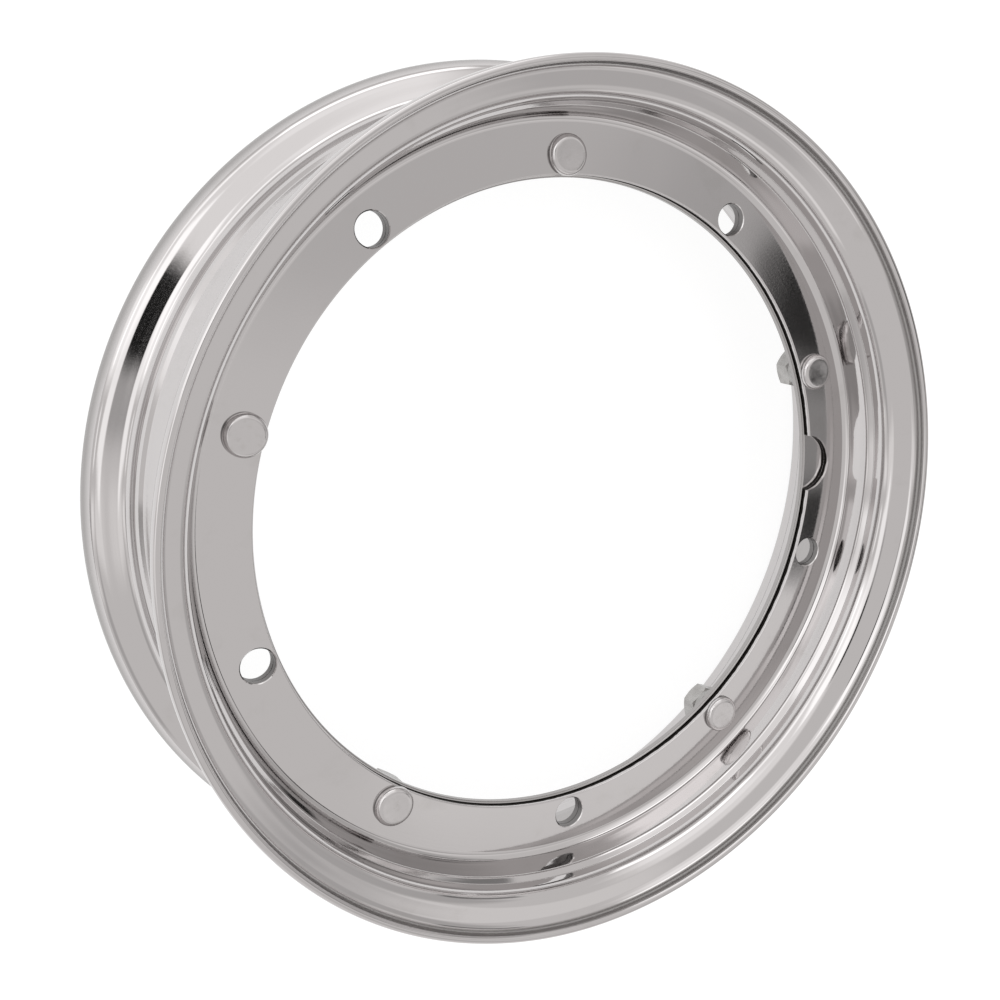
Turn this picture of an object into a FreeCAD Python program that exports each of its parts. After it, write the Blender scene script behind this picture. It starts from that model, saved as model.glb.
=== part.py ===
"""Split steel rim of a small-wheeled motor scooter, lying on the lip of its wide half.

Two pressed steel rings are bolted back to back through their flat webs. The narrow half is on top
and carries round-headed studs, and the wide half below takes a spring washer and a nut on each stud.
Millimetres. +Z is the wheel axis, Z = 0 is the plane of the lower lip, and the notch of the upper
web is at +X. A section is drawn as (radius, depth), where depth is measured from the half's own lip
plane towards the joint between the halves.
"""
import FreeCAD, Part
import math
import os

from FreeCAD import Vector

# Pressed sheet
SHEET = 2.5
EDGE_ROUND = 0.5
JOINT_ROUND = 0.7

# Widths along the axle, from lip to lip and from the upper lip to the joint
RIM_WIDTH = 73.0
NARROW_DEPTH = 29.0
WIDE_DEPTH = RIM_WIDTH - NARROW_DEPTH

# Lips and bores
NARROW_LIP_RADIUS = 140.0
WIDE_LIP_RADIUS = 141.0
NARROW_BORE_RADIUS = 104.9
WIDE_BORE_RADIUS = 104.0

# Flange and bead seat, on the side that faces away from the tyre, the same for both halves
LIP_BEND_DEPTH = 4.6
LIP_BEND_RADIUS = 3.2
FLANGE_ROOT_RADIUS = 127.6
FLANGE_ROOT_DEPTH = 8.8
FLANGE_ROOT_BEND = 3.5
SHOULDER_TOP_RADIUS = 126.9
SHOULDER_TOP_DEPTH = 15.4
SHOULDER_FOOT_RADIUS = 125.3
SHOULDER_FOOT_DEPTH = 17.4
SHOULDER_BEND = 1.0

# Walls between bead seat and web
NARROW_WALL_FOOT_RADIUS = 122.9
NARROW_WALL_BEND = 3.0
WIDE_WALL_FOOT_RADIUS = 121.6
WIDE_WALL_BEND = 3.5
WELL_KINK_RADIUS = 122.9
WELL_KINK_DEPTH = 27.0
WELL_KINK_BEND = 8.0

# Bolt circle: studs and wheel holes take turns on it
BOLT_CIRCLE_RADIUS = 111.0
STUD_COUNT = 5
FIRST_STUD_ANGLE = 90.0
STUD_PITCH = 360.0 / STUD_COUNT
WHEEL_HOLE_DIAMETER = 10.5
WHEEL_HOLE_CHAMFER = 0.4

# Notch in the bore edge of the narrow half, and valve hole in the wall of the wide half, below the joint
NOTCH_ANGLE = 0.0
NOTCH_RADIUS = 10.4
NOTCH_INSET = 1.0
VALVE_ANGLE = NOTCH_ANGLE
VALVE_HOLE_DIAMETER = 11.5
VALVE_HOLE_DROP = 10.5

# Studs, spring washers and nuts, size M8
THREAD_DIAMETER = 8.0
THREAD_END_CHAMFER = 1.0
NECK_DIAMETER = 9.0
HEAD_DIAMETER = 13.0
HEAD_HEIGHT = 2.4
HEAD_ROUND = 0.9
HEAD_DISH_RADIUS = 4.4
HEAD_DISH_DEPTH = 0.25
STUD_OVERHANG = 2.5
NECK_CLEARANCE = 0.05
THREAD_CLEARANCE = 0.1
STUD_HOLE_CLEARANCE = 0.3
WASHER_OUTER_DIAMETER = 13.6
WASHER_THICKNESS = 2.0
WASHER_CLEARANCE = 0.2
WASHER_GAP = 1.6
WASHER_GAP_SLANT = 25.0
NUT_ACROSS_FLATS = 13.0
NUT_HEIGHT = 6.5
NUT_CHAMFER_ANGLE = 30.0
NUT_FACE_DIAMETER = 12.4
NUT_TURN = 30.0

# Levels above the lower lip plane
JOINT_LEVEL = WIDE_DEPTH
NARROW_WEB_FACE = JOINT_LEVEL + SHEET
WIDE_WEB_FACE = JOINT_LEVEL - SHEET
NUT_SEAT = WIDE_WEB_FACE - WASHER_THICKNESS
NUT_END = NUT_SEAT - NUT_HEIGHT
STUD_END = NUT_END - STUD_OVERHANG

AXIS = Vector(0, 0, 1)
ORIGIN = Vector(0, 0, 0)
# The revolved rings close half-way between a stud and a wheel hole, clear of both.
SEAM_ANGLE = FIRST_STUD_ANGLE + STUD_PITCH / 4


def direction(angle):
    """Level direction at an angle in degrees from +X, of length 1."""
    return Vector(math.cos(math.radians(angle)), math.sin(math.radians(angle)), 0)


def unit(start, end):
    """Direction from one (radius, depth) point to the next, of length 1."""
    run = (end[0] - start[0], end[1] - start[1])
    length = math.hypot(*run)
    return (run[0] / length, run[1] / length)


def sheet_section(corners, radii, bore_rounds, lip_rounds):
    """Closed outline of a sheet of even thickness, as (radius, depth, corner round) points.

    corners run along the dished side from the bore to the lip. radii are the bends' radii on the
    inside of each bend, so the other side of the sheet gets that radius plus the sheet.
    """
    runs = [unit(a, b) for a, b in zip(corners, corners[1:])]
    normals = [(-run[1], run[0]) for run in runs]
    dished = [(*corners[0], bore_rounds[0])]
    first, normal = corners[0], normals[0]
    tyre_side = [(first[0] + SHEET * normal[0], first[1] + SHEET * normal[1], bore_rounds[1])]
    for index, radius in enumerate(radii):
        corner = corners[index + 1]
        before, after = normals[index], normals[index + 1]
        reach = SHEET / (1 + before[0] * after[0] + before[1] * after[1])
        turn = runs[index][0] * runs[index + 1][1] - runs[index][1] * runs[index + 1][0]
        dished_radius = radius if turn < 0 else radius + SHEET
        tyre_radius = radius + SHEET if turn < 0 else radius
        dished.append((*corner, dished_radius))
        offset = (corner[0] + reach * (before[0] + after[0]), corner[1] + reach * (before[1] + after[1]))
        tyre_side.append((*offset, tyre_radius))
    last, normal = corners[-1], normals[-1]
    dished.append((*last, lip_rounds[0]))
    tyre_side.append((last[0] + SHEET * normal[0], last[1] + SHEET * normal[1], lip_rounds[1]))
    return dished + tyre_side[::-1]


def rounded_wire(points):
    """Wire in the XZ plane through (x, z, corner round) points, each corner rounded by an arc."""
    count = len(points)
    arcs = []
    for index, (x, z, radius) in enumerate(points):
        back = unit((x, z), points[index - 1])
        ahead = unit((x, z), points[(index + 1) % count])
        half = math.acos(max(-1.0, min(1.0, back[0] * ahead[0] + back[1] * ahead[1]))) / 2
        cut = radius / math.tan(half)
        start = Vector(x + back[0] * cut, 0, z + back[1] * cut)
        end = Vector(x + ahead[0] * cut, 0, z + ahead[1] * cut)
        middle_way = unit((0, 0), (back[0] + ahead[0], back[1] + ahead[1]))
        sag = radius / math.sin(half) - radius
        middle = Vector(x + middle_way[0] * sag, 0, z + middle_way[1] * sag)
        arcs.append((start, middle, end))
    edges = []
    for index, (start, middle, end) in enumerate(arcs):
        edges.append(Part.Arc(start, middle, end).toShape())
        edges.append(Part.LineSegment(end, arcs[(index + 1) % count][0]).toShape())
    return Part.Wire(edges)


def ring(points):
    """Solid of revolution about the wheel axis of a closed (radius, level, round) outline."""
    face = Part.Face(rounded_wire(points))
    face.rotate(ORIGIN, AXIS, SEAM_ANGLE)
    return face.revolve(ORIGIN, AXIS, 360)


def flange_corners(lip_radius):
    """Dished side of bead seat shoulder, flange and lip, from the shoulder's foot to the lip's edge."""
    lip_inside = lip_radius - SHEET
    corners = [
        (SHOULDER_FOOT_RADIUS, SHOULDER_FOOT_DEPTH),
        (SHOULDER_TOP_RADIUS, SHOULDER_TOP_DEPTH),
        (FLANGE_ROOT_RADIUS, FLANGE_ROOT_DEPTH),
        (lip_inside, LIP_BEND_DEPTH),
        (lip_inside, 0.0),
    ]
    return corners, [SHOULDER_BEND, SHOULDER_BEND, FLANGE_ROOT_BEND, LIP_BEND_RADIUS]


def bolt_points(first_angle, level):
    """Evenly spaced points on the bolt circle."""
    angles = [first_angle + index * STUD_PITCH for index in range(STUD_COUNT)]
    return [direction(angle) * BOLT_CIRCLE_RADIUS + AXIS * level for angle in angles]


def stud_points(level):
    return bolt_points(FIRST_STUD_ANGLE, level)


def wheel_hole_tools(outer_face, outward):
    """Cutters for the wheel holes through one web, with a light chamfer on its outer face."""
    radius = WHEEL_HOLE_DIAMETER / 2
    reach = 2 * SHEET
    tools = []
    for point in bolt_points(FIRST_STUD_ANGLE + STUD_PITCH / 2, outer_face):
        base = point + AXIS * (outward * WHEEL_HOLE_CHAMFER)
        wide, narrow = radius + 2 * WHEEL_HOLE_CHAMFER, radius
        tools.append(Part.makeCylinder(radius, 2 * reach, point - AXIS * reach, AXIS))
        tools.append(Part.makeCone(wide, narrow, 2 * WHEEL_HOLE_CHAMFER, base, AXIS * -outward))
    return tools


def stud_hole_tools(diameter):
    reach = 2 * SHEET
    return [
        Part.makeCylinder(diameter / 2, 2 * reach, point - AXIS * reach, AXIS)
        for point in stud_points(JOINT_LEVEL)
    ]


def make_narrow_half():
    """Upper ring: short dish, web with the notch in its bore edge, stud and wheel holes."""
    flange, flange_bends = flange_corners(NARROW_LIP_RADIUS)
    web_depth = NARROW_DEPTH - SHEET
    corners = [(NARROW_BORE_RADIUS, web_depth), (NARROW_WALL_FOOT_RADIUS, web_depth)] + flange
    bends = [NARROW_WALL_BEND] + flange_bends
    section = sheet_section(corners, bends, (EDGE_ROUND, JOINT_ROUND), (EDGE_ROUND, EDGE_ROUND))
    half = ring([(r, RIM_WIDTH - depth, rounding) for r, depth, rounding in section])
    notch_base = direction(NOTCH_ANGLE) * (NARROW_BORE_RADIUS - NOTCH_INSET) + AXIS * (JOINT_LEVEL - SHEET)
    tools = [Part.makeCylinder(NOTCH_RADIUS, 3 * SHEET, notch_base, AXIS)]
    tools += stud_hole_tools(NECK_DIAMETER + 2 * NECK_CLEARANCE)
    tools += wheel_hole_tools(NARROW_WEB_FACE, 1)
    return half.cut(tools)


def make_wide_half():
    """Lower ring: deep dish with a well wall, web, stud and wheel holes, valve hole."""
    flange, flange_bends = flange_corners(WIDE_LIP_RADIUS)
    web_depth = WIDE_DEPTH - SHEET
    corners = [
        (WIDE_BORE_RADIUS, web_depth),
        (WIDE_WALL_FOOT_RADIUS, web_depth),
        (WELL_KINK_RADIUS, WELL_KINK_DEPTH),
    ] + flange
    bends = [WIDE_WALL_BEND, WELL_KINK_BEND] + flange_bends
    half = ring(sheet_section(corners, bends, (EDGE_ROUND, JOINT_ROUND), (EDGE_ROUND, EDGE_ROUND)))
    tools = stud_hole_tools(THREAD_DIAMETER + 2 * STUD_HOLE_CLEARANCE)
    tools += wheel_hole_tools(WIDE_WEB_FACE, -1)
    valve_way = direction(VALVE_ANGLE)
    valve_start = valve_way * WIDE_BORE_RADIUS + AXIS * (JOINT_LEVEL - VALVE_HOLE_DROP)
    valve_length = WIDE_LIP_RADIUS - WIDE_BORE_RADIUS
    tools.append(Part.makeCylinder(VALVE_HOLE_DIAMETER / 2, valve_length, valve_start, valve_way))
    return half.cut(tools)


def make_stud(point):
    """Round-headed stud, head on the upper web: neck in the upper web, thread down through the nut."""
    head_radius = HEAD_DIAMETER / 2
    thread_radius = THREAD_DIAMETER / 2 - THREAD_CLEARANCE
    neck_radius = NECK_DIAMETER / 2
    top = NARROW_WEB_FACE + HEAD_HEIGHT
    turn = head_radius - HEAD_ROUND
    bend = HEAD_ROUND * (1 - math.sqrt(0.5))
    tip_radius = thread_radius - THREAD_END_CHAMFER

    def at(radius, level):
        return Vector(radius, 0, level)

    edges = [
        Part.Arc(at(0, top - HEAD_DISH_DEPTH), at(HEAD_DISH_RADIUS / 2, top - 0.75 * HEAD_DISH_DEPTH),
                 at(HEAD_DISH_RADIUS, top)).toShape(),
        Part.LineSegment(at(HEAD_DISH_RADIUS, top), at(turn, top)).toShape(),
        Part.Arc(at(turn, top), at(head_radius - bend, top - bend),
                 at(head_radius, top - HEAD_ROUND)).toShape(),
    ]
    outline = [
        at(head_radius, top - HEAD_ROUND),
        at(head_radius, NARROW_WEB_FACE),
        at(neck_radius, NARROW_WEB_FACE),
        at(neck_radius, JOINT_LEVEL),
        at(thread_radius, JOINT_LEVEL),
        at(thread_radius, STUD_END + THREAD_END_CHAMFER),
        at(tip_radius, STUD_END),
        at(0, STUD_END),
        at(0, top - HEAD_DISH_DEPTH),
    ]
    edges += [Part.LineSegment(a, b).toShape() for a, b in zip(outline, outline[1:])]
    stud = Part.Face(Part.Wire(edges)).revolve(ORIGIN, AXIS, 360)
    stud.translate(Vector(point.x, point.y, 0))
    return stud


def make_spring_washer(point, angle):
    """Flattened spring washer with its slanted split turned away from the wheel axis."""
    outer = WASHER_OUTER_DIAMETER / 2
    inner = THREAD_DIAMETER / 2 + WASHER_CLEARANCE
    base = Vector(0, 0, NUT_SEAT)
    washer = Part.makeCylinder(outer, WASHER_THICKNESS, base, AXIS).cut(
        Part.makeCylinder(inner, WASHER_THICKNESS, base, AXIS))
    split_height = 3 * WASHER_THICKNESS
    split = Part.makeBox(2 * outer, WASHER_GAP, split_height, Vector(0, -WASHER_GAP / 2, -split_height / 2))
    split.rotate(ORIGIN, Vector(1, 0, 0), WASHER_GAP_SLANT)
    split.translate(Vector(0, 0, NUT_SEAT + WASHER_THICKNESS / 2))
    washer = washer.cut(split)
    washer.rotate(ORIGIN, AXIS, angle)
    washer.translate(Vector(point.x, point.y, 0))
    return washer


def make_nut(point, angle):
    """Hexagon nut with both ends chamfered, on the spring washer."""
    corner_radius = NUT_ACROSS_FLATS / 2 / math.cos(math.pi / 6)
    corners = []
    for index in range(7):
        way = math.radians(60 * index)
        corners.append(Vector(corner_radius * math.cos(way), corner_radius * math.sin(way), NUT_END))
    hexagon = Part.Face(Part.makePolygon(corners)).extrude(AXIS * NUT_HEIGHT)
    face_radius = NUT_FACE_DIAMETER / 2
    drop = (corner_radius - face_radius) * math.tan(math.radians(NUT_CHAMFER_ANGLE))
    outline = [
        Vector(0, 0, NUT_END),
        Vector(face_radius, 0, NUT_END),
        Vector(corner_radius, 0, NUT_END + drop),
        Vector(corner_radius, 0, NUT_SEAT - drop),
        Vector(face_radius, 0, NUT_SEAT),
        Vector(0, 0, NUT_SEAT),
    ]
    turned = Part.Face(Part.makePolygon(outline + outline[:1])).revolve(ORIGIN, AXIS, 360)
    bore = Part.makeCylinder(THREAD_DIAMETER / 2, NUT_HEIGHT, Vector(0, 0, NUT_END), AXIS)
    nut = hexagon.common(turned).cut(bore)
    nut.rotate(ORIGIN, AXIS, angle)
    nut.translate(Vector(point.x, point.y, 0))
    return nut


def main():
    os.makedirs("parts", exist_ok=True)
    nodes = {"narrow_half": make_narrow_half(), "wide_half": make_wide_half()}
    for index, point in enumerate(stud_points(0)):
        angle = FIRST_STUD_ANGLE + index * STUD_PITCH
        nodes["stud_%d" % (index + 1)] = make_stud(point)
        nodes["spring_washer_%d" % (index + 1)] = make_spring_washer(point, angle)
        nodes["nut_%d" % (index + 1)] = make_nut(point, angle + NUT_TURN)
    for name, shape in nodes.items():
        solid = shape.Solids[0]
        solid.exportStep("parts/" + name + ".step")
        print(name, "solids", len(shape.Solids), "valid", solid.isValid(), "volume %.1f" % solid.Volume)


main()
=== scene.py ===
"""Studio scene of a chrome-plated split rim of a small-wheeled motor scooter, lying on its wide half.

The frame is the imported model's: +Z is the wheel axis, Z = 0 is the floor and the lower lip, and the
notch of the upper web is at +X. Sizes are written in millimetres, as on a drawing, and the meshes are
in metres. The halves and the studs are drawn again from their sections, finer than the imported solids,
because a mirror finish shows every facet.
"""

import math
from collections import namedtuple

import bpy
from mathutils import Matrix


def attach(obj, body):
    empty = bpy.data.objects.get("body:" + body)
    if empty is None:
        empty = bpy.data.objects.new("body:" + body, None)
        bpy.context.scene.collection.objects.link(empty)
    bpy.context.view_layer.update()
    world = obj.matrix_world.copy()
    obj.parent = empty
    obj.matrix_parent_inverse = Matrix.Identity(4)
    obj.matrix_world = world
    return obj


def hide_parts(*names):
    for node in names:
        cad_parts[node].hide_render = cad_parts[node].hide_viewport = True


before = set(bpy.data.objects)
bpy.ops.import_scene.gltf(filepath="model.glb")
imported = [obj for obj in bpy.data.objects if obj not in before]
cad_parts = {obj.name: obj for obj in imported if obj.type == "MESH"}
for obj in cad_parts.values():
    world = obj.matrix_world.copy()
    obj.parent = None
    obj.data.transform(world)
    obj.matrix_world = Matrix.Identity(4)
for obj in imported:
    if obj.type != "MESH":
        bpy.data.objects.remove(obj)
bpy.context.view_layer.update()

BODY = "root"
MM = 0.001

# Sheet and widths
SHEET = 2.5
EDGE_ROUND = 0.5
JOINT_ROUND = 0.7
LIP_EDGE_ROUND = 1.1
NARROW_DEPTH = 29.0
WIDE_DEPTH = 44.0
RIM_WIDTH = NARROW_DEPTH + WIDE_DEPTH

# Bent section of each half on the side away from the tyre, with depths below the half's own lip
Corner = namedtuple("Corner", "radius depth bend")
NARROW_LIP_RADIUS = 140.0
WIDE_LIP_RADIUS = 141.0
NARROW_BORE_RADIUS = 104.9
WIDE_BORE_RADIUS = 104.0
LIP_BEND_DEPTH = 4.6
LIP_BEND = 4.2
FLANGE_ROOT = Corner(127.6, 8.8, 5.0)
SHOULDER_TOP = Corner(126.9, 15.4, 1.0)
SHOULDER_FOOT = Corner(125.3, 17.4, 1.0)
WELL_KINK = Corner(122.9, 27.0, 8.0)
NARROW_WALL_FOOT = Corner(122.9, NARROW_DEPTH - SHEET, 3.0)
WIDE_WALL_FOOT = Corner(121.6, WIDE_DEPTH - SHEET, 3.5)

# Levels of the joint between the halves, of the middle of the width, and of the webs' outer faces
JOINT_LEVEL = WIDE_DEPTH
MIDDLE_LEVEL = RIM_WIDTH / 2
NARROW_WEB_FACE = JOINT_LEVEL + SHEET
WIDE_WEB_FACE = JOINT_LEVEL - SHEET

# Holes
STUD_COUNT = 5
FIRST_STUD_ANGLE = 90.0
STUD_PITCH = 360.0 / STUD_COUNT
BOLT_CIRCLE_RADIUS = 111.0
WHEEL_HOLE_RADIUS = 5.25
WHEEL_HOLE_CHAMFER = 0.4
STUD_HOLE_RADIUS = 4.3
NOTCH_RADIUS = 10.4
NOTCH_INSET = 1.0
NOTCH_CENTRE = NARROW_BORE_RADIUS - NOTCH_INSET
VALVE_HOLE_RADIUS = 5.75
VALVE_HOLE_LEVEL = 33.5

# Studs
HEAD_RADIUS = 6.5
HEAD_HEIGHT = 2.4
HEAD_ROUND = 1.7
HEAD_DISH_RADIUS = 4.4
HEAD_DISH_DEPTH = 0.06
NECK_RADIUS = 4.5
NECK_CLEARANCE = 0.05
THREAD_RADIUS = 3.9
THREAD_DEPTH = 0.62
THREAD_PITCH = 1.25
THREAD_END_CHAMFER = 1.0
STUD_END = 30.5

# Fineness of the drawn meshes
RING_COLUMNS = 420
BEND_STEP = 6.0
HOLE_SIDES = 72
STUD_COLUMNS = 64
DISH_ROWS = 6
THREAD_ROWS_A_TURN = 12
SHARP_ANGLE = 28.0
FLAT_FACE_WEIGHT = 90

# Camera at the photograph's viewing angle: place in metres, turn in degrees, sensor and lens
CAMERA_PLACE = (-0.2266, 0.1132, 0.4151)
CAMERA_TURN = (-13.71, -34.98, 0.71)
CAMERA_SENSOR = 36.0
CAMERA_LENS = 49.02
CAMERA_SHIFT = (-0.15, -0.03)

# Floor: size and drop below the lip in metres, glow that makes it pale, grey that takes the shadow
FLOOR_SIZE = 6.0
FLOOR_DROP = 0.00005
FLOOR_GLOW = 0.88
FLOOR_SHADE = (0.25, 0.25, 0.25)

# Colours of the plating, of the shade painted on it, and its tint where it is seen at a glancing angle
CHROME_COLOR = (0.585, 0.565, 0.563)
CHROME_STAINED = (0.505, 0.486, 0.474)
# painted shade of the plate inside the lips, on the lower lip, at the lower half's bore edge and in its
# dish
PLATE_SHADE_COLOR = (0.32, 0.308, 0.302)
# near-black painted shade for the joint, the wheel holes' walls and the studs' feet
PAINTED_SHADE_COLOR = (0.02, 0.018, 0.016)
GRAZING_TINT = (0.88, 0.88, 0.88)

# Roughness of the plating, from its smoothest to its dullest grain, and what each kind of mark adds
CHROME_ROUGHNESS = (0.05, 0.08)
STUD_ROUGHNESS = (0.10, 0.18)
WATER_MARK_ROUGHNESS = 0.02
SCUFF_ROUGHNESS = 0.03
STUD_SCRATCH_ROUGHNESS = 0.08
# roughness added where that plate shade is painted
PLATE_SHADE_ROUGHNESS = 0.15
# roughness added where the near-black shade is painted
PAINTED_SHADE_ROUGHNESS = 0.5

# Marks of the surfaces as noise: bumps a metre (along X, Y and Z where they are drawn out), octaves,
# roughness of the noise, depth of the relief, and the values between which the marks set in
Marks = namedtuple("Marks", "scale detail roughness depth limits", defaults=(0.0, (0.3, 0.7)))
TURNING_RINGS = Marks(900, 3.0, 0.6, depth=0.0025)
PLATE_GRAIN = Marks(1400, 2.0, 0.6, depth=0.0025)
PRESSING_WAVES = Marks(28, 1.0, 0.4, depth=0.16)
PRESSING_RINGS = Marks(130, 1.0, 0.4, depth=0.2)
WATER_MARKS = Marks(60, 5.0, 0.6, limits=(0.55, 0.75))
SCUFFS = Marks((60, 900, 300), 3.0, 0.6, limits=(0.70, 0.78))
JOINT_UNEVENNESS = Marks(300, 3.0, 0.6)
STUD_DENTS = Marks(260, 3.0, 0.6, depth=0.02)
STUD_SCRATCHES = Marks((300, 2600, 900), 2.0, 0.5, depth=0.003, limits=(0.60, 0.72))
STUD_STAINS = Marks(330, 4.0, 0.65, limits=(0.50, 0.75))
ZINC_CLOUDS = Marks(240, 4.0, 0.6, depth=0.04, limits=(0.35, 0.70))
ZINC_SCRATCHES = Marks((500, 500, 2600), 2.0, 0.5, depth=0.008, limits=(0.30, 0.75))
RING_MARK_RADIUS = 4.0
WATER_MARK_SHARE = 0.35
STUD_STAIN_SHARE = 0.5

# Where the plating is flat, and where shade is painted on it, in millimetres, and how much of it
SOFT_EDGE = 0.2
FLAT_WEB_REACH = (3.0, 6.0)
# painted shade in the crevice between the halves and on the upper sheet's cut edge
CREVICE_HEIGHT = 0.5
CREVICE_UNEVENNESS = 0.14
CREVICE_FADE = 0.3
CREVICE_SEAM = 0.02
CREVICE_END = (118.0, 118.5)
CUT_EDGE_HEIGHT = 1.6
CUT_EDGE_BAND = 0.7
# share of painted shade at the lower half's bore edge
BORE_EDGE_SHADE_SHARE = 0.75
# painted shade on the walls of the wheel holes
HOLE_WALL_MARGIN = 0.08
HOLE_WALL_EDGE = 0.1
HOLE_SHADE = 0.65
LIP_WALL_MARGIN = 0.3
LIP_WALL_RADIUS = WIDE_LIP_RADIUS - SHEET + LIP_WALL_MARGIN
# painted shade inside the lips, on the lower lip's outer side, at the lower bore edge and in the dish
LIP_SHADE_TOP = (0.4, 1.0)
LIP_SHADE_FOOT = (3.6, 4.4)
LOWER_LIP_SHADE_LEVELS = (3.0, 6.6)
LOWER_LIP_SHADE_SHARE = 0.8
DISH_TOP_MARGIN = 0.1
DISH_TOP = WIDE_WEB_FACE + DISH_TOP_MARGIN
DISH_WALL = (123.6, 123.8)
DISH_SHADE_SHARE = 0.5
# painted shade round the feet of the studs' heads, where they meet the web
STUD_FOOT_BAND = (0.2, 0.9)
STUD_FOOT_UNEVENNESS = (0.8, 1.3)
STUD_FOOT_SHADE = 0.75

# Zinc of the nuts and washers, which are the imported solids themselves
Zinc = namedtuple("Zinc", "name color dull_color roughness")
FASTENER_FINISHES = {
    "nut": Zinc("nut_zinc", (0.46, 0.45, 0.44), (0.37, 0.36, 0.35), (0.20, 0.36)),
    "spring_washer": Zinc("washer_zinc", (0.43, 0.425, 0.415), (0.35, 0.34, 0.33), (0.24, 0.42)),
}

# Studio light on a plan of the sky: degrees from straight up, towards +X and towards +Y
Card = namedtuple("Card", "name centre half_size turn edge strength")
TENT_LEVEL = 0.80
TENT_COLOR = (1.01, 0.994, 0.986)
CARD_COLOR = (1, 1, 1)
CARD_COLOR_LEVELS = (0.8, 1.6)
LIGHT_CARDS = (
    Card("wide softbox", (-28, 44), (52, 26), 0, 12, 0.34),
    Card("near softbox", (-39, 17), (13, 26), -25, 8, 0.60),
    Card("left softbox", (-66, 32), (18, 14), -25, 10, 0.30),
    Card("high softbox", (8, 50), (22, 10), 0, 8, 0.16),
    Card("flange card", (36, 10), (14, 5), 0, 5, 0.14),
    Card("left strip", (-60, 40), (20, 3), 58, 4, 0.50),
    Card("far strip", (6, 72), (26, 6), 0, 6, 1.10),
    Card("far left strip", (-34, 64), (16, 5), 28, 6, 0.50),
    Card("back strip", (14, -67), (34, 5), -8, 6, 0.32),
    Card("low left spot", (-75, 5), (3, 8), 0, 4, 0.50),
    Card("lip card", (-44, -15), (15, 7), 0, 8, 0.26),
    Card("low left card", (-72, -24), (7, 14), 0, 7, 0.36),
    Card("front card", (33, -26), (11, 5), 30, 4, 0.12),
)
DARK_FLAGS = (
    Card("black flag", (-21.5, 13.5), (7.5, 4), 62, 5, 0.98),
    Card("grey flag", (-26, 3), (6, 4), 62, 6, 0.34),
    Card("web flag", (43, -17), (4, 2), 0, 1.6, 0.95),
    Card("notch flag", (43, -12.2), (4, 3.2), 0, 1.5, 0.58),
    Card("stud flag", (43.5, -7.4), (4.5, 3), -15, 3, 0.96),
    Card("far web flag", (41, -2.5), (6, 4), -15, 6, 0.30),
    Card("overhead flag", (27, -2), (9, 5), 0, 6, 0.16),
    Card("right flag", (61, 18), (11, 25), 0, 9, 0.28),
    Card("side flag", (80, -4), (9, 28), 0, 10, 0.25),
    Card("corner flag", (52, -64), (9, 30), -51, 10, 0.15),
    Card("back flag", (30, -38), (14, 7), 0, 8, 0.20),
    Card("left flag", (-87, -24), (4, 12), 0, 6, 0.40),
    Card("back left flag", (-58, -42), (8, 26), 36, 8, 0.28),
    Card("stand flag", (64, 47), (4, 11), 36, 4, 0.65),
)


def unit(start, end):
    """Direction from one point of a section to another."""
    run = (end[0] - start[0], end[1] - start[1])
    length = math.hypot(*run)
    return (run[0] / length, run[1] / length)


def around(centre, radius, angle):
    """Point at a distance and an angle in radians from a centre."""
    return (centre[0] + radius * math.cos(angle), centre[1] + radius * math.sin(angle))


def shifted(corner, way, distance, bend):
    """Corner moved some distance along a way, with a bend of its own."""
    return Corner(corner.radius + distance * way[0], corner.depth + distance * way[1], bend)


def sheet_section(corners):
    """Closed outline of a sheet of even thickness, out along the given corners and back beside them.

    A bend is the radius on its inner side, and its outer side has the sheet's thickness more.
    """
    runs = [unit(a, b) for a, b in zip(corners, corners[1:])]
    normals = [(-run[1], run[0]) for run in runs]
    dished_side = [corners[0]]
    tyre_side = [shifted(corners[0], normals[0], SHEET, JOINT_ROUND)]
    for corner, before, after in zip(corners[1:-1], normals, normals[1:]):
        inner, outer = corner.bend, corner.bend + SHEET
        away = before[0] * after[1] < before[1] * after[0]
        dished_side.append(corner._replace(bend=inner if away else outer))
        way = (before[0] + after[0], before[1] + after[1])
        reach = SHEET / (1 + before[0] * after[0] + before[1] * after[1])
        tyre_side.append(shifted(corner, way, reach, outer if away else inner))
    dished_side.append(corners[-1])
    tyre_side.append(shifted(corners[-1], normals[-1], SHEET, corners[-1].bend))
    return dished_side + tyre_side[::-1]


def half_section(bore_radius, inner_corners, lip_radius):
    """Section of one half, from its bore to its lip and back along the tyre's side."""
    inside = lip_radius - SHEET
    bore_edge = Corner(bore_radius, inner_corners[0].depth, EDGE_ROUND)
    lip = [Corner(inside, LIP_BEND_DEPTH, LIP_BEND), Corner(inside, 0.0, LIP_EDGE_ROUND)]
    return sheet_section([bore_edge, *inner_corners, SHOULDER_FOOT, SHOULDER_TOP, FLANGE_ROOT, *lip])


def rounded_loop(outline):
    """Points along a closed (radius, level, bend) outline, with every corner drawn as a fine arc."""
    points = []
    count = len(outline)
    for index, (x, z, bend) in enumerate(outline):
        inward = unit(outline[index - 1], (x, z))
        outward = unit((x, z), outline[(index + 1) % count])
        turn = math.atan2(inward[0] * outward[1] - inward[1] * outward[0],
                          inward[0] * outward[0] + inward[1] * outward[1])
        side = math.copysign(1.0, turn)
        cut_back = bend * math.tan(abs(turn) / 2)
        start = (x - inward[0] * cut_back, z - inward[1] * cut_back)
        centre = (start[0] - side * bend * inward[1], start[1] + side * bend * inward[0])
        steps = max(2, math.ceil(math.degrees(abs(turn)) / BEND_STEP))
        for step in range(steps + 1):
            angle = turn * step / steps
            way = (inward[0] * math.cos(angle) - inward[1] * math.sin(angle),
                   inward[0] * math.sin(angle) + inward[1] * math.cos(angle))
            points.append((centre[0] + side * bend * way[1], centre[1] - side * bend * way[0]))
    return points


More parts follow.
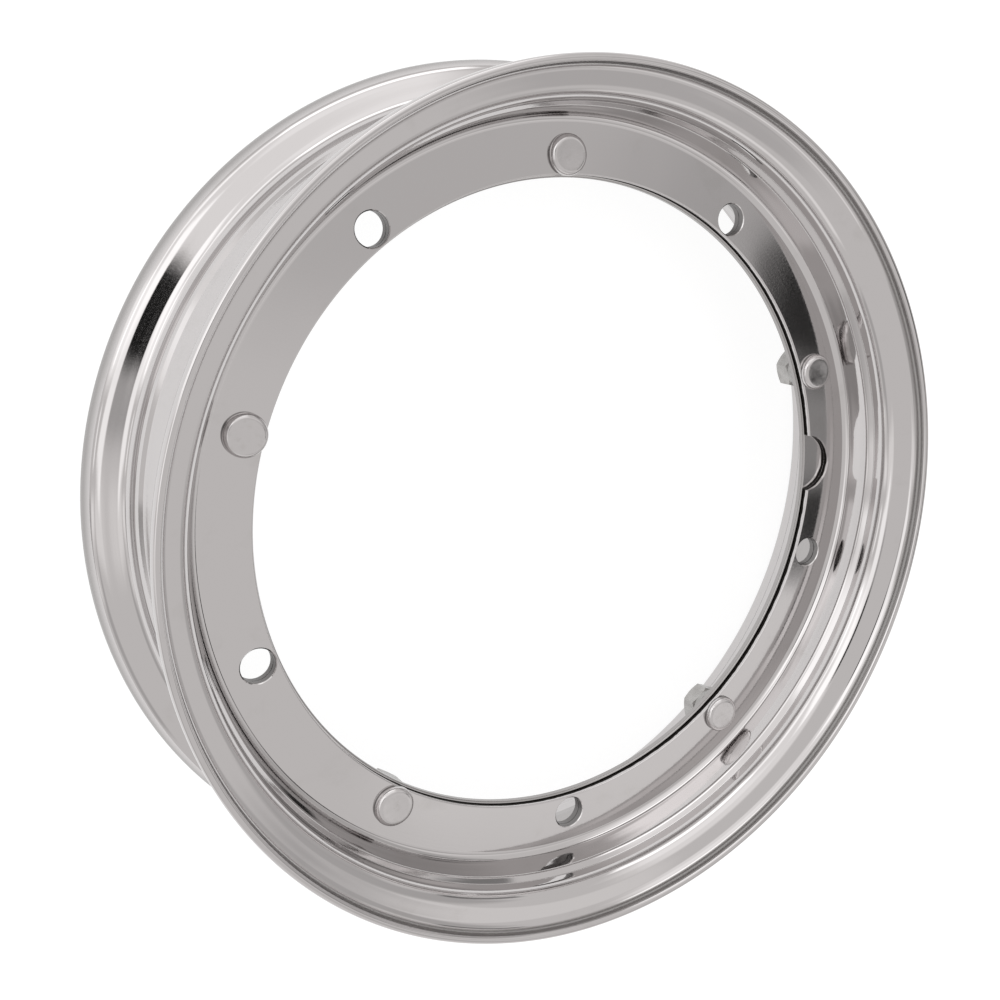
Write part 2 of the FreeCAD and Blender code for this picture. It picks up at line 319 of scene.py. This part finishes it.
def new_object(name, vertices, faces):
    """Mesh object from points in millimetres."""
    mesh = bpy.data.meshes.new(name)
    mesh.from_pydata([[value * MM for value in vertex] for vertex in vertices], [], faces)
    mesh.validate()
    thing = bpy.data.objects.new(name, mesh)
    bpy.context.scene.collection.objects.link(thing)
    return thing


def revolved(name, loop):
    """Ring swept by a closed loop of (radius, level) points round the wheel axis, faces outwards."""
    area = sum(a[0] * b[1] - b[0] * a[1] for a, b in zip(loop, loop[1:] + loop[:1]))
    if area < 0:
        loop = loop[::-1]
    rows = len(loop)
    vertices, faces = [], []
    for column in range(RING_COLUMNS):
        angle = 2 * math.pi * column / RING_COLUMNS
        vertices += [(*around((0, 0), r, angle), z) for r, z in loop]
    for column in range(RING_COLUMNS):
        here, there = column * rows, (column + 1) % RING_COLUMNS * rows
        for row in range(rows):
            after = (row + 1) % rows
            faces.append((here + row, there + row, there + after, here + after))
    return new_object(name, vertices, faces)


def rod(name, ends, centre=(0, 0)):
    """Closed upright rod or cone between two (level, radius) ends, used as a cutter.

    It is turned by half a side, so that none of its corners is in line with X or Y.
    """
    vertices, faces = [], []
    for z, radius in sorted(ends):
        for side in range(HOLE_SIDES):
            angle = 2 * math.pi * (side + 0.5) / HOLE_SIDES
            vertices.append((*around(centre, radius, angle), z))
    for side in range(HOLE_SIDES):
        after = (side + 1) % HOLE_SIDES
        faces.append((side, after, HOLE_SIDES + after, HOLE_SIDES + side))
    faces.append(tuple(range(HOLE_SIDES))[::-1])
    faces.append(tuple(range(HOLE_SIDES, 2 * HOLE_SIDES)))
    return new_object(name, vertices, faces)


def bolt_points(first_angle):
    """Five points on the bolt circle, the first at the given angle from the notch."""
    angles = [math.radians(first_angle + index * STUD_PITCH) for index in range(STUD_COUNT)]
    return [around((0, 0), BOLT_CIRCLE_RADIUS, angle) for angle in angles]


def cut(thing, cutters):
    """Cuts each cutter out of the thing and deletes the cutters."""
    for cutter in cutters:
        modifier = thing.modifiers.new("cut", "BOOLEAN")
        modifier.operation = "DIFFERENCE"
        modifier.solver = "MANIFOLD"
        modifier.object = cutter
    depsgraph = bpy.context.evaluated_depsgraph_get()
    mesh = bpy.data.meshes.new_from_object(thing.evaluated_get(depsgraph))
    thing.modifiers.clear()
    thing.data = mesh
    for cutter in cutters:
        bpy.data.objects.remove(cutter)


def smooth(thing):
    """Smooth shading that keeps flat faces flat and hard edges hard."""
    thing.data.shade_smooth()
    thing.data.set_sharp_from_angle(angle=math.radians(SHARP_ANGLE))
    modifier = thing.modifiers.new("flat faces stay flat", "WEIGHTED_NORMAL")
    modifier.keep_sharp = True
    modifier.weight = FLAT_FACE_WEIGHT


def wheel_hole_cutters(face, outward):
    """Cutters of the five wheel holes, with a chamfer in a web's outer face.

    outward is 1 where that face looks up and -1 where it looks down.
    """
    mouth_radius = WHEEL_HOLE_RADIUS + 2 * WHEEL_HOLE_CHAMFER
    inner_level = face - outward * WHEEL_HOLE_CHAMFER
    outer_level = face + outward * WHEEL_HOLE_CHAMFER
    cutters = []
    for point in bolt_points(FIRST_STUD_ANGLE + STUD_PITCH / 2):
        through = [(face - 2 * SHEET, WHEEL_HOLE_RADIUS), (face + 2 * SHEET, WHEEL_HOLE_RADIUS)]
        chamfer = [(inner_level, WHEEL_HOLE_RADIUS), (outer_level, mouth_radius)]
        cutters += [rod("hole", through, point), rod("chamfer", chamfer, point)]
    return cutters


def stud_hole_cutters(radius):
    """Cutters of the five stud holes through one web or the other."""
    ends = [(JOINT_LEVEL - 2 * SHEET, radius), (JOINT_LEVEL + 2 * SHEET, radius)]
    return [rod("hole", ends, point) for point in bolt_points(FIRST_STUD_ANGLE)]


def make_narrow_half():
    """Upper half, with the notch in its bore edge."""
    section = half_section(NARROW_BORE_RADIUS, [NARROW_WALL_FOOT], NARROW_LIP_RADIUS)
    half = revolved("narrow_rim_half", rounded_loop([(r, RIM_WIDTH - d, bend) for r, d, bend in section]))
    notch_ends = [(JOINT_LEVEL - SHEET, NOTCH_RADIUS), (JOINT_LEVEL + 2 * SHEET, NOTCH_RADIUS)]
    notch = rod("notch", notch_ends, (NOTCH_CENTRE, 0.0))
    stud_holes = stud_hole_cutters(NECK_RADIUS + NECK_CLEARANCE)
    cut(half, [notch, *stud_holes, *wheel_hole_cutters(NARROW_WEB_FACE, 1)])
    return half


def make_wide_half():
    """Lower half, with the valve hole in its wall below the notch."""
    section = half_section(WIDE_BORE_RADIUS, [WIDE_WALL_FOOT, WELL_KINK], WIDE_LIP_RADIUS)
    half = revolved("wide_rim_half", rounded_loop(section))
    valve = rod("valve", [(WIDE_BORE_RADIUS, VALVE_HOLE_RADIUS), (WIDE_LIP_RADIUS, VALVE_HOLE_RADIUS)])
    valve.rotation_euler = (0, math.radians(90), 0)
    valve.location = (0, 0, VALVE_HOLE_LEVEL * MM)
    cut(half, [valve, *stud_hole_cutters(STUD_HOLE_RADIUS), *wheel_hole_cutters(WIDE_WEB_FACE, -1)])
    return half


def stud_profile():
    """Head and neck from near the head's middle out and down to the shank, as (radius, level) points."""
    top = NARROW_WEB_FACE + HEAD_HEIGHT
    points = []
    for row in range(1, DISH_ROWS + 1):
        share = row / DISH_ROWS
        points.append((HEAD_DISH_RADIUS * share, top - HEAD_DISH_DEPTH * (1 - share * share)))
    centre = (HEAD_RADIUS - HEAD_ROUND, top - HEAD_ROUND)
    bends = round(90 / BEND_STEP)
    for step in range(bends + 1):
        angle = math.radians(90 - 90 * step / bends)
        points.append(around(centre, HEAD_ROUND, angle))
    points += [(HEAD_RADIUS, NARROW_WEB_FACE), (NECK_RADIUS, NARROW_WEB_FACE)]
    points += [(NECK_RADIUS, JOINT_LEVEL), (THREAD_RADIUS, JOINT_LEVEL)]
    return points


def thread_rows():
    """(full radius, level, share of the thread's depth) down the shank to the chamfered tip."""
    length = JOINT_LEVEL - STUD_END
    count = math.ceil(length / THREAD_PITCH * THREAD_ROWS_A_TURN)
    rows = []
    for index in range(1, count + 1):
        level = JOINT_LEVEL - length * index / count
        above_tip = level - STUD_END
        radius = min(THREAD_RADIUS, THREAD_RADIUS - THREAD_END_CHAMFER + above_tip)
        rows.append((radius, level, min(1.0, (JOINT_LEVEL - level) / THREAD_PITCH)))
    return rows


def make_stud(name, point):
    """Round-headed stud with a real thread on its shank."""
    rings = [[(r, z)] * STUD_COLUMNS for r, z in stud_profile()]
    for radius, level, share in thread_rows():
        ring = []
        for column in range(STUD_COLUMNS):
            phase = (level / THREAD_PITCH + column / STUD_COLUMNS) % 1.0
            groove = 1 - abs(2 * phase - 1)
            ring.append((min(radius, THREAD_RADIUS - THREAD_DEPTH * groove * share), level))
        rings.append(ring)
    vertices = [(*point, NARROW_WEB_FACE + HEAD_HEIGHT - HEAD_DISH_DEPTH)]
    for ring in rings:
        for column, (r, z) in enumerate(ring):
            angle = 2 * math.pi * column / STUD_COLUMNS
            vertices.append((*around(point, r, angle), z))
    vertices.append((*point, STUD_END))
    faces = []
    last = len(vertices) - 1
    for column in range(STUD_COLUMNS):
        after = (column + 1) % STUD_COLUMNS
        faces.append((0, 1 + column, 1 + after))
        for ring in range(len(rings) - 1):
            above, below = 1 + ring * STUD_COLUMNS, 1 + (ring + 1) * STUD_COLUMNS
            faces.append((above + column, below + column, below + after, above + after))
        foot = 1 + (len(rings) - 1) * STUD_COLUMNS
        faces.append((foot + column, last, foot + after))
    return new_object(name, vertices, faces)


def new_tree(owner):
    """Emptied node tree of a material or world."""
    owner.use_nodes = True
    owner.node_tree.nodes.clear()
    return owner.node_tree


def socket(sockets, key):
    """Socket by its number, or by its name among those that the node's settings leave in use."""
    if isinstance(key, int):
        return sockets[key]
    return next(one for one in sockets if one.enabled and one.name == key)


def add(tree, kind, settings=None, inputs=None):
    """New node, with its properties set and each input linked or given a value."""
    node = tree.nodes.new(kind)
    for key, value in (settings or {}).items():
        setattr(node, key, value)
    for key, value in (inputs or {}).items():
        target = socket(node.inputs, key)
        if isinstance(value, bpy.types.NodeSocket):
            tree.links.new(value, target)
        else:
            target.default_value = value
    return node


def sums(tree, operation, *values):
    """Result of one math node."""
    return add(tree, "ShaderNodeMath", {"operation": operation}, dict(enumerate(values))).outputs[0]


def vectors(tree, operation, *values):
    """Result of one vector math node."""
    node = add(tree, "ShaderNodeVectorMath", {"operation": operation}, dict(enumerate(values)))
    return node.outputs[0]


def vector_length(tree, vector):
    """Length of a vector."""
    return add(tree, "ShaderNodeVectorMath", {"operation": "LENGTH"}, {0: vector}).outputs["Value"]


def scaled(tree, vector, scale):
    """Vector times a number."""
    node = add(tree, "ShaderNodeVectorMath", {"operation": "SCALE"}, {"Vector": vector, "Scale": scale})
    return node.outputs[0]


def split(tree, vector):
    """The three coordinates of a vector."""
    return add(tree, "ShaderNodeSeparateXYZ", None, {"Vector": vector}).outputs


def joined(tree, **coordinates):
    """Vector of the given coordinates, and 0 for the others."""
    return add(tree, "ShaderNodeCombineXYZ", None, coordinates).outputs[0]


def noise(tree, place, marks):
    """Noise between 0 and 1, as fine as the marks are."""
    scale = marks.scale
    if isinstance(scale, tuple):
        place, scale = vectors(tree, "MULTIPLY", place, scale), 1.0
    node = add(tree, "ShaderNodeTexNoise", None, {
        "Vector": place, "Scale": scale, "Detail": marks.detail, "Roughness": marks.roughness})
    return node.outputs[0]


def stretch(tree, value, low, high, to_low=0.0, to_high=1.0):
    """Value between two limits, brought softly to another pair of limits."""
    node = add(tree, "ShaderNodeMapRange", {"interpolation_type": "SMOOTHSTEP"}, {
        "Value": value, "From Min": low, "From Max": high, "To Min": to_low, "To Max": to_high})
    return socket(node.outputs, "Result")


def fade(tree, value, start, end, before=1.0, after=0.0):
    """One number softly turned into another, as a value in metres passes two limits in millimetres."""
    return stretch(tree, value, start * MM, end * MM, before, after)


def blended(tree, share, low, high):
    """Colour mixed from two by a share."""
    low, high = (value if isinstance(value, bpy.types.NodeSocket) else (*value, 1)
                 for value in (low, high))
    node = add(tree, "ShaderNodeMix", {"data_type": "RGBA"}, {"Factor": share, "A": low, "B": high})
    return socket(node.outputs, "Result")


def bumped(tree, height, marks, below=None):
    """Normal of a relief as deep as the marks are, laid over another."""
    inputs = {"Height": height, "Distance": marks.depth * MM}
    if below is not None:
        inputs["Normal"] = below
    return add(tree, "ShaderNodeBump", None, inputs).outputs["Normal"]


def metal(name, make_inputs):
    """Metal whose colour, roughness and normal come from the nodes that make_inputs adds for a place."""
    material = bpy.data.materials.new(name)
    tree = new_tree(material)
    color, roughness, normal = make_inputs(tree, add(tree, "ShaderNodeTexCoord").outputs["Object"])
    shader = add(tree, "ShaderNodeBsdfPrincipled", None, {
        "Base Color": color, "Metallic": 1.0, "Roughness": roughness, "Normal": normal,
        "Specular Tint": (*GRAZING_TINT, 1)})
    add(tree, "ShaderNodeOutputMaterial", None, {"Surface": shader.outputs["BSDF"]})
    return material


def distance_from(tree, level, mark):
    """Distance up or down between a level and a mark, which is given in millimetres."""
    return sums(tree, "ABSOLUTE", sums(tree, "SUBTRACT", level, mark * MM))


def turned_place(tree, place):
    """Place from which noise runs in rings, and the radius and level of the surface.

    Noise read there changes slowly round the wheel axis and fast along the section.
    """
    x, y, level = split(tree, place)
    flat = joined(tree, X=x, Y=y)
    radius = vector_length(tree, flat)
    along_section = sums(tree, "ADD", radius, distance_from(tree, level, MIDDLE_LEVEL))
    small_ring = scaled(tree, vectors(tree, "NORMALIZE", flat), RING_MARK_RADIUS * MM)
    return vectors(tree, "ADD", small_ring, joined(tree, Z=along_section)), radius, level


def joint_shade(tree, place, radius, level):
    """Painted shade: 1 in the crevice between the halves and on the upper sheet's cut edge in the bore
    and notch.
    """
    beside = vectors(tree, "SUBTRACT", place, (NOTCH_CENTRE * MM, 0, 0))
    from_notch = vector_length(tree, vectors(tree, "MULTIPLY", beside, (1, 1, 0)))
    bore, notch = NARROW_BORE_RADIUS + CUT_EDGE_BAND, NOTCH_RADIUS + CUT_EDGE_BAND
    in_bore = fade(tree, radius, bore, bore + SOFT_EDGE)
    in_notch = fade(tree, from_notch, notch, notch + SOFT_EDGE)
    cut_edge = sums(tree, "MAXIMUM", in_bore, in_notch)
    uneven = stretch(tree, noise(tree, place, JOINT_UNEVENNESS), *JOINT_UNEVENNESS.limits,
                     -CREVICE_UNEVENNESS * MM, CREVICE_UNEVENNESS * MM)
    height = stretch(tree, cut_edge, 0, 1, CREVICE_HEIGHT * MM, CUT_EDGE_HEIGHT * MM)
    above = sums(tree, "SUBTRACT", level, JOINT_LEVEL * MM)
    left_above = sums(tree, "SUBTRACT", sums(tree, "ADD", height, uneven), above)
    in_crevice = sums(tree, "MULTIPLY", fade(tree, left_above, 0.0, CREVICE_FADE, 0.0, 1.0),
                      sums(tree, "GREATER_THAN", above, CREVICE_SEAM * MM))
    return sums(tree, "MULTIPLY", in_crevice, fade(tree, radius, *CREVICE_END))


def hole_wall(tree, place, radius):
    """1 on the walls of the wheel holes, where shade is painted, found by turning all five onto one."""
    x, y, _ = split(tree, place)
    middle = math.radians((FIRST_STUD_ANGLE + STUD_PITCH / 2) % STUD_PITCH)
    half = math.radians(STUD_PITCH / 2)
    turn = sums(tree, "WRAP", sums(tree, "ARCTAN2", y, x), middle + half, middle - half)
    off = sums(tree, "SUBTRACT", turn, middle)
    outward = sums(tree, "SUBTRACT", sums(tree, "MULTIPLY", radius, sums(tree, "COSINE", off)),
                   BOLT_CIRCLE_RADIUS * MM)
    sideways = sums(tree, "MULTIPLY", radius, sums(tree, "SINE", off))
    from_hole = vector_length(tree, joined(tree, X=outward, Y=sideways))
    wall = WHEEL_HOLE_RADIUS + HOLE_WALL_MARGIN
    return fade(tree, from_hole, wall, wall + HOLE_WALL_EDGE)


def plate_shade_share(tree, radius, level):
    """Painted shade: 1 inside the lips; less on lower lip, bore edge and dish."""
    below_lip = sums(tree, "SUBTRACT", MIDDLE_LEVEL * MM, distance_from(tree, level, MIDDLE_LEVEL))
    lip_wall = (LIP_WALL_RADIUS, LIP_WALL_RADIUS + SOFT_EDGE)
    band = sums(tree, "MULTIPLY", fade(tree, below_lip, *LIP_SHADE_TOP, 0.0, 1.0),
                fade(tree, below_lip, *LIP_SHADE_FOOT))
    inside_lip = sums(tree, "MULTIPLY", fade(tree, radius, *lip_wall), band)
    lower_lip_shade = sums(tree, "MULTIPLY", fade(tree, radius, *lip_wall, 0.0, 1.0),
                   fade(tree, level, *LOWER_LIP_SHADE_LEVELS, LOWER_LIP_SHADE_SHARE))
    bore = WIDE_BORE_RADIUS + EDGE_ROUND
    cut_edge = fade(tree, radius, bore - SOFT_EDGE, bore + SOFT_EDGE, BORE_EDGE_SHADE_SHARE)
    dish = sums(tree, "MULTIPLY", fade(tree, level, DISH_TOP, DISH_TOP + SOFT_EDGE, DISH_SHADE_SHARE),
                fade(tree, radius, *DISH_WALL))
    other_shade = sums(tree, "MAXIMUM", lower_lip_shade, sums(tree, "MAXIMUM", cut_edge, dish))
    return sums(tree, "MAXIMUM", inside_lip, other_shade)


def rim_chrome_inputs(tree, place):
    """Bright plate: pressing waves, fine rings and grain, faint water marks; painted shade in joint,
    holes, lips and dish.
    """
    ring, radius, level = turned_place(tree, place)
    grain = noise(tree, place, PLATE_GRAIN)
    water_marks = stretch(tree, noise(tree, place, WATER_MARKS), *WATER_MARKS.limits)
    scuffs = stretch(tree, noise(tree, place, SCUFFS), *SCUFFS.limits)
    # near-black painted shade on the wheel holes' walls and in the joint between the halves
    in_hole = sums(tree, "MULTIPLY", hole_wall(tree, place, radius), HOLE_SHADE)
    painted_shade = sums(tree, "MAXIMUM", joint_shade(tree, place, radius, level), in_hole)
    # painted shade inside the lips, on the lower lip, at the lower bore edge and in the dish
    plate_shade = plate_shade_share(tree, radius, level)
    stained = sums(tree, "MULTIPLY", water_marks, WATER_MARK_SHARE)
    color = blended(tree, stained, CHROME_COLOR, CHROME_STAINED)
    color = blended(tree, plate_shade, color, PLATE_SHADE_COLOR)
    color = blended(tree, painted_shade, color, PAINTED_SHADE_COLOR)
    roughness = stretch(tree, grain, *PLATE_GRAIN.limits, *CHROME_ROUGHNESS)
    for share, added in ((water_marks, WATER_MARK_ROUGHNESS), (scuffs, SCUFF_ROUGHNESS),
                         (plate_shade, PLATE_SHADE_ROUGHNESS), (painted_shade, PAINTED_SHADE_ROUGHNESS)):
        roughness = sums(tree, "MULTIPLY_ADD", share, added, roughness)
    off_web = fade(tree, distance_from(tree, level, JOINT_LEVEL), *FLAT_WEB_REACH, 0.0, 1.0)
    pressing = sums(tree, "MULTIPLY", noise(tree, ring, PRESSING_RINGS), off_web)
    normal = bumped(tree, pressing, PRESSING_RINGS)
    normal = bumped(tree, noise(tree, place, PRESSING_WAVES), PRESSING_WAVES, normal)
    normal = bumped(tree, noise(tree, ring, TURNING_RINGS), TURNING_RINGS, normal)
    return color, roughness, bumped(tree, grain, PLATE_GRAIN, normal)


def stud_chrome_inputs(tree, place):
    """Plate of the studs, a little softer than the rim's, with small dents and painted shade round their
    feet.
    """
    dents = noise(tree, place, STUD_DENTS)
    scratches = stretch(tree, noise(tree, place, STUD_SCRATCHES), *STUD_SCRATCHES.limits)
    stains = stretch(tree, noise(tree, place, STUD_STAINS), *STUD_STAINS.limits)
    # painted shade round the foot of each head, where it meets the web
    above_web = sums(tree, "SUBTRACT", split(tree, place)[2], NARROW_WEB_FACE * MM)
    uneven = stretch(tree, dents, *STUD_DENTS.limits, *STUD_FOOT_UNEVENNESS)
    foot = fade(tree, sums(tree, "MULTIPLY", above_web, uneven), *STUD_FOOT_BAND, STUD_FOOT_SHADE)
    stained = sums(tree, "MULTIPLY", stains, STUD_STAIN_SHARE)
    color = blended(tree, stained, CHROME_COLOR, CHROME_STAINED)
    color = blended(tree, foot, color, PAINTED_SHADE_COLOR)
    roughness = stretch(tree, dents, *STUD_DENTS.limits, *STUD_ROUGHNESS)
    roughness = sums(tree, "MULTIPLY_ADD", scratches, STUD_SCRATCH_ROUGHNESS, roughness)
    normal = bumped(tree, dents, STUD_DENTS)
    return color, roughness, bumped(tree, scratches, STUD_SCRATCHES, normal)


def zinc(finish):
    """Satin zinc plate with fine scratches and a faintly clouded colour."""
    def inputs(tree, place):
        clouds = noise(tree, place, ZINC_CLOUDS)
        scratches = noise(tree, place, ZINC_SCRATCHES)
        clouded = stretch(tree, clouds, *ZINC_CLOUDS.limits)
        roughness = stretch(tree, scratches, *ZINC_SCRATCHES.limits, *finish.roughness)
        normal = bumped(tree, scratches, ZINC_SCRATCHES, bumped(tree, clouds, ZINC_CLOUDS))
        return blended(tree, clouded, finish.color, finish.dull_color), roughness, normal
    return metal(finish.name, inputs)


def make_floor():
    """Plain pale floor that looks white and still takes the rim's shadow."""
    mesh = bpy.data.meshes.new("floor")
    half = FLOOR_SIZE / 2
    corners = [(x * half, y * half, -FLOOR_DROP) for x, y in ((-1, -1), (1, -1), (1, 1), (-1, 1))]
    mesh.from_pydata(corners, [], [(0, 1, 2, 3)])
    floor = bpy.data.objects.new("floor", mesh)
    bpy.context.scene.collection.objects.link(floor)
    material = bpy.data.materials.new("floor")
    tree = new_tree(material)
    rays = add(tree, "ShaderNodeLightPath").outputs
    seen = sums(tree, "MAXIMUM", rays["Is Camera Ray"],
                sums(tree, "MAXIMUM", rays["Is Glossy Ray"], rays["Is Transmission Ray"]))
    glow = add(tree, "ShaderNodeEmission", None, {
        "Color": (1, 1, 1, 1), "Strength": sums(tree, "MULTIPLY", seen, FLOOR_GLOW)})
    shaded = add(tree, "ShaderNodeBsdfDiffuse", None, {"Color": (*FLOOR_SHADE, 1)})
    both = add(tree, "ShaderNodeAddShader", None, {0: glow.outputs[0], 1: shaded.outputs[0]})
    add(tree, "ShaderNodeOutputMaterial", None, {"Surface": both.outputs[0]})
    mesh.materials.append(material)


def make_camera():
    """Camera at the photograph's viewing angle."""
    data = bpy.data.cameras.new("camera")
    data.sensor_width = CAMERA_SENSOR
    data.lens = CAMERA_LENS
    data.shift_x, data.shift_y = CAMERA_SHIFT
    camera = bpy.data.objects.new("camera", data)
    camera.location = CAMERA_PLACE
    camera.rotation_euler = [math.radians(turn) for turn in CAMERA_TURN]
    bpy.context.scene.collection.objects.link(camera)
    bpy.context.scene.camera = camera


def card_share(tree, sky_plan, card):
    """1 inside a card of the sky plan, 0 outside, with soft edges."""
    local = add(tree, "ShaderNodeMapping", {"vector_type": "TEXTURE", "label": card.name}, {
        "Vector": sky_plan, "Location": (*card.centre, 0), "Rotation": (0, 0, math.radians(card.turn))})
    reach = vectors(tree, "ABSOLUTE", local.outputs[0])
    soft = card.edge / 2
    across, along = card.half_size
    softly = {"data_type": "FLOAT_VECTOR", "interpolation_type": "SMOOTHSTEP"}
    inside = add(tree, "ShaderNodeMapRange", softly, {
        "Vector": reach, "From Min": (across + soft, along + soft, 0),
        "From Max": (across - soft, along - soft, 1)})
    sides = split(tree, socket(inside.outputs, "Vector"))
    return sums(tree, "MULTIPLY", sides[0], sides[1])


def make_world():
    """Studio round the rim: a soft even tent, with brighter cards and dark flags on a plan of the sky."""
    world = bpy.data.worlds.new("studio")
    bpy.context.scene.world = world
    tree = new_tree(world)
    x, y, z = split(tree, add(tree, "ShaderNodeTexCoord").outputs["Generated"])
    from_zenith = sums(tree, "MULTIPLY", sums(tree, "ARCCOSINE", z), 180 / math.pi)
    sky_plan = scaled(tree, vectors(tree, "NORMALIZE", joined(tree, X=x, Y=y)), from_zenith)
    level = TENT_LEVEL
    for card in LIGHT_CARDS:
        level = sums(tree, "MULTIPLY_ADD", card_share(tree, sky_plan, card), card.strength, level)
    for flag in DARK_FLAGS:
        kept = sums(tree, "MULTIPLY_ADD", card_share(tree, sky_plan, flag), -flag.strength, 1.0)
        level = sums(tree, "MULTIPLY", level, kept)
    color = blended(tree, stretch(tree, level, *CARD_COLOR_LEVELS), TENT_COLOR, CARD_COLOR)
    back = add(tree, "ShaderNodeBackground", None, {"Color": color, "Strength": level})
    add(tree, "ShaderNodeOutputWorld", None, {"Surface": back.outputs[0]})
    world.cycles.sampling_method = "NONE"


def coat(piece, material):
    """Gives a piece its one material."""
    piece.data.materials.clear()
    piece.data.materials.append(material)


def put(piece, node, material):
    """Finishes a drawn piece and lets it stand for a node."""
    smooth(piece)
    coat(piece, material)
    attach(piece, BODY)
    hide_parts(node)


rim_chrome = metal("rim_chrome", rim_chrome_inputs)
stud_chrome = metal("stud_chrome", stud_chrome_inputs)
fastener_zinc = {kind: zinc(finish) for kind, finish in FASTENER_FINISHES.items()}

put(make_narrow_half(), "narrow_half", rim_chrome)
put(make_wide_half(), "wide_half", rim_chrome)
for index, point in enumerate(bolt_points(FIRST_STUD_ANGLE), 1):
    put(make_stud("threaded_stud_%d" % index, point), "stud_%d" % index, stud_chrome)
for name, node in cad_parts.items():
    for kind, material in fastener_zinc.items():
        if name.startswith(kind):
            coat(node, material)
make_floor()
make_world()
make_camera()
bpy.context.scene.view_settings.view_transform = "Standard"
